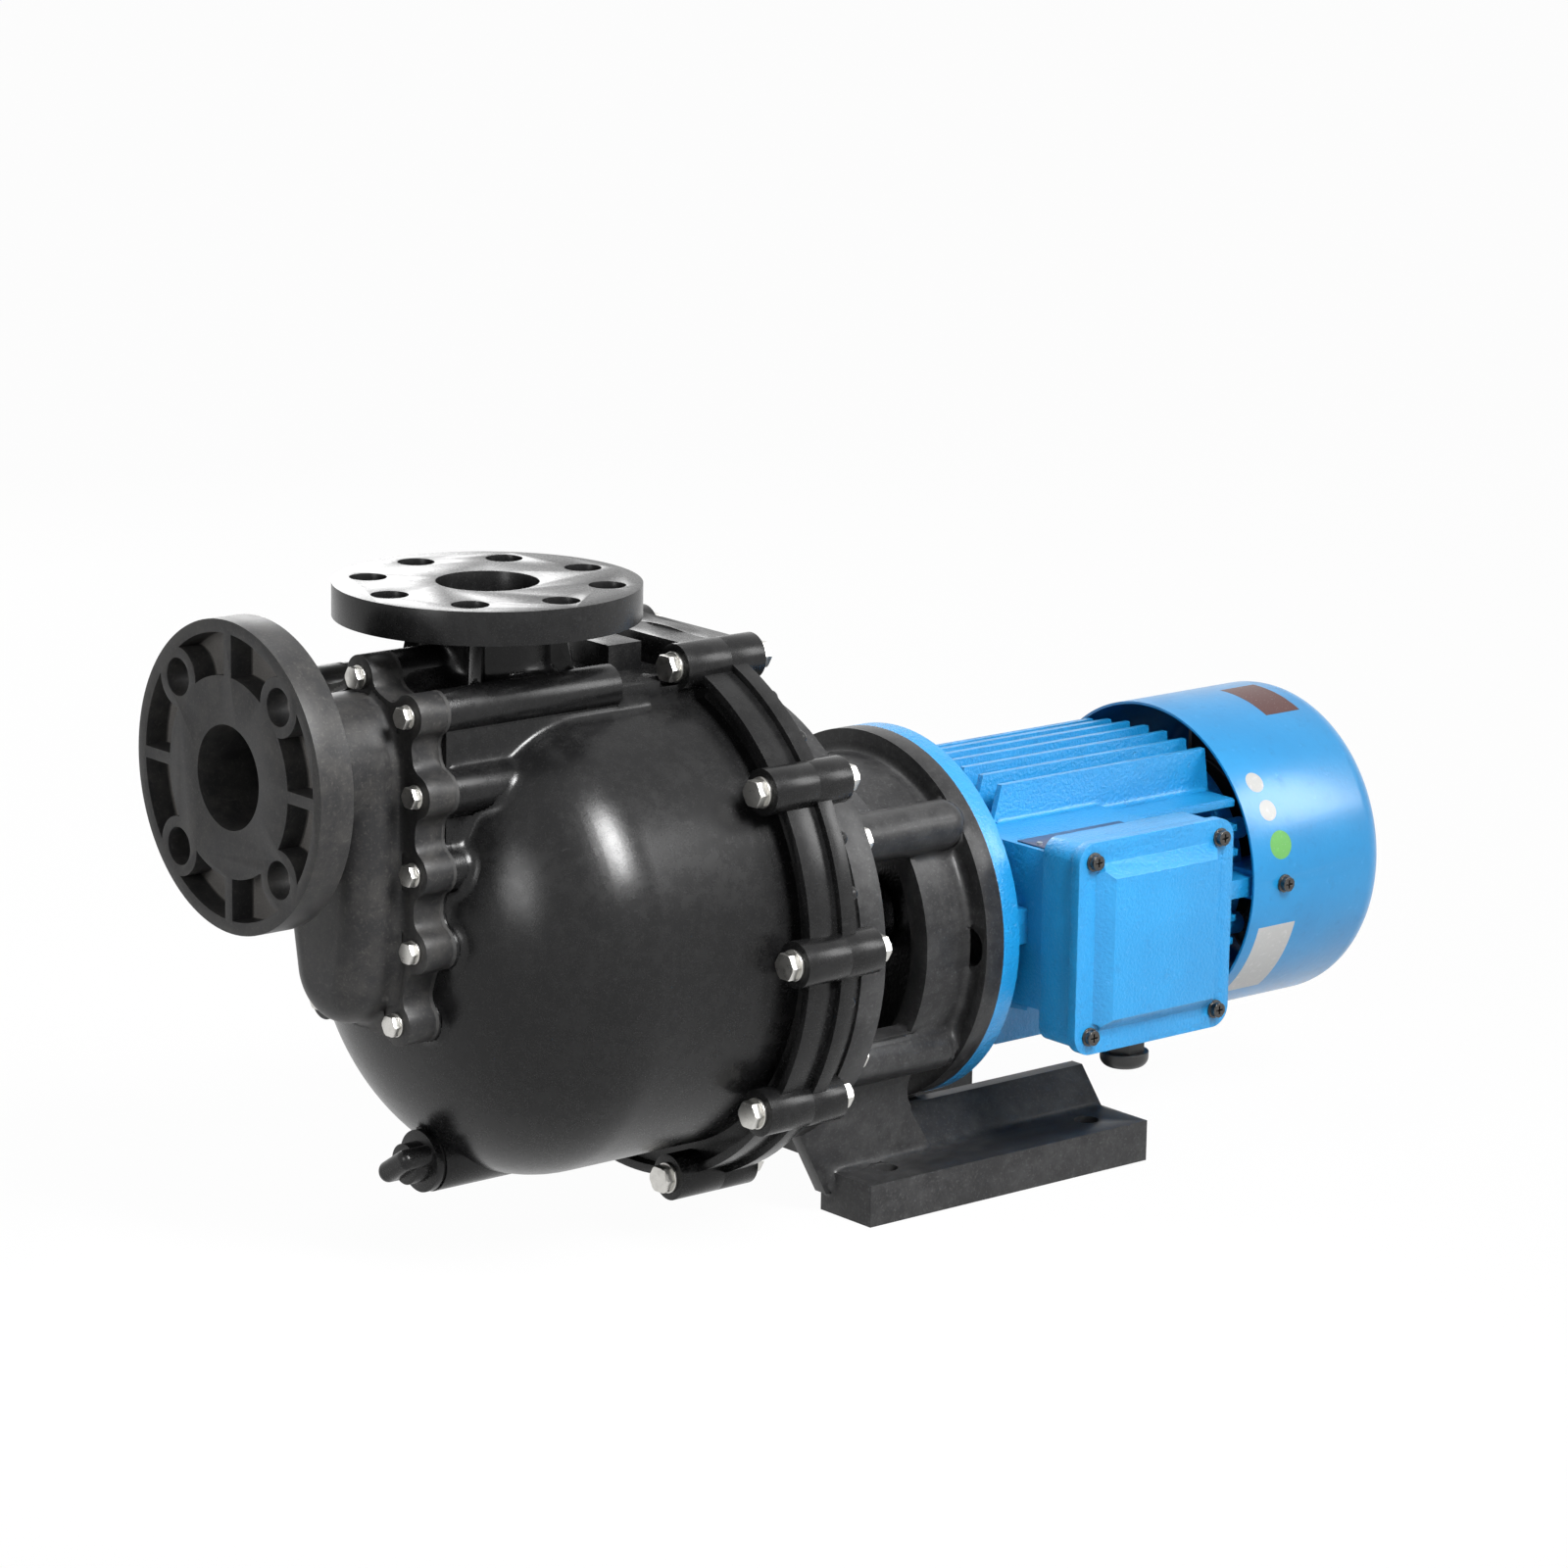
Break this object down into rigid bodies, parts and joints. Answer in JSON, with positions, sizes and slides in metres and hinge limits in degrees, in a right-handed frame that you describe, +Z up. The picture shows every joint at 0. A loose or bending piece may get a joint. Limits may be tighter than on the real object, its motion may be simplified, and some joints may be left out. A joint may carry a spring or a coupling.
{
  "type": "chemical pump",
  "caption": "Self-priming chemical pump: moulded black tank with suction and discharge flanges, foot bracket, and a finned blue motor with terminal box and fan cowl.",
  "frame": {"origin": "centre of the four foot-bolt holes, on the underside of the foot", "axes": "+X along the shaft from suction to motor, +Z up, terminal box on the -Y side"},
  "size_m": [0.719, 0.306, 0.349],
  "materials": {
    "black_moulding": "satin fibre-filled polypropylene",
    "inner_plastic": "satin moulded plastic",
    "stainless": "stainless steel",
    "shaft_steel": "ground steel",
    "ceramic": "lapped ceramic",
    "rubber": "black sealing rubber",
    "blue_paint": "blue enamel on cast metal",
    "cowl_paint": "blue enamel on sheet metal",
    "zinc_dark": "dark plated screws",
    "core_steel": "laminated electrical steel",
    "copper": "enamelled copper winding",
    "brass": "plain brass",
    "black_nylon": "black nylon",
    "plate_navy": "dark blue printed plate, blank",
    "plate_black": "black plate, blank"
  },
  "bodies": {
    "root": {"tank_body": "black_moulding", "suction_cover": "black_moulding", "suction_cover_gasket": "rubber", "cover_bolts": "stainless", "cover_washers": "stainless", "ring_bolts": "stainless", "ring_washers": "stainless", "ring_nuts": "stainless", "rear_cover": "black_moulding", "rear_cover_o_ring": "rubber", "volute_casing": "inner_plastic", "volute_screws": "stainless", "seal_gland": "inner_plastic", "seal_gland_screws": "stainless", "seal_seat": "ceramic", "motor_bracket": "black_moulding", "bracket_bolts": "stainless", "bracket_washers": "stainless", "bracket_nameplate": "plate_black", "bracket_nameplate_rivets": "stainless", "front_shield": "blue_paint", "oil_seal": "rubber", "motor_frame": "blue_paint", "stator_core": "core_steel", "stator_windings": "copper", "bearing_outer_rings": "shaft_steel", "rear_shield": "blue_paint", "tie_bolts": "zinc_dark", "fan_cowl": "cowl_paint", "cowl_screws": "zinc_dark", "motor_bolts": "stainless", "motor_washers": "stainless", "box_base": "blue_paint", "box_gasket": "rubber", "box_lid": "blue_paint", "lid_screws": "zinc_dark", "terminal_board": "black_nylon", "terminal_studs": "brass", "cable_gland_body": "black_nylon", "cable_gland_nut": "black_nylon", "cable_gland_seal": "rubber", "motor_nameplate": "plate_navy", "motor_nameplate_rivets": "stainless"},
    "rotor": {"impeller": "inner_plastic", "impeller_cap": "inner_plastic", "stub_shaft": "shaft_steel", "stub_set_screws": "zinc_dark", "shaft_sleeve": "ceramic", "seal_ring": "inner_plastic", "seal_bellows": "rubber", "rotor_core": "core_steel", "motor_shaft": "shaft_steel", "shaft_key": "shaft_steel", "bearing_inner_rings": "shaft_steel", "bearing_balls": "shaft_steel", "cooling_fan": "black_nylon", "fan_circlip": "zinc_dark"},
    "drain_ring": {"drain_gasket": "rubber"},
    "drain_screw": {"drain_plug": "black_moulding"}
  },
  "joints": [
    {"name": "shaft_spin", "type": "hinge", "parent": "root", "child": "rotor", "pos_m": [0, 0, 0.139], "axis": [1, 0, 0], "continuous": true},
    {"name": "drain_screw_travel", "type": "slide", "parent": "root", "child": "drain_ring", "axis": [-1, 0, 0], "range_m": [0, 0.01088]},
    {"name": "drain_screw_turn", "type": "hinge", "parent": "drain_ring", "child": "drain_screw", "pos_m": [-0.318, 0, 0.0555], "axis": [-1, 0, 0], "range_deg": [0, 2160]}
  ],
  "couplings": [
    {"joint": "drain_screw_travel", "follows": "drain_screw_turn", "m_per_rad": 0.00028871}
  ]
}
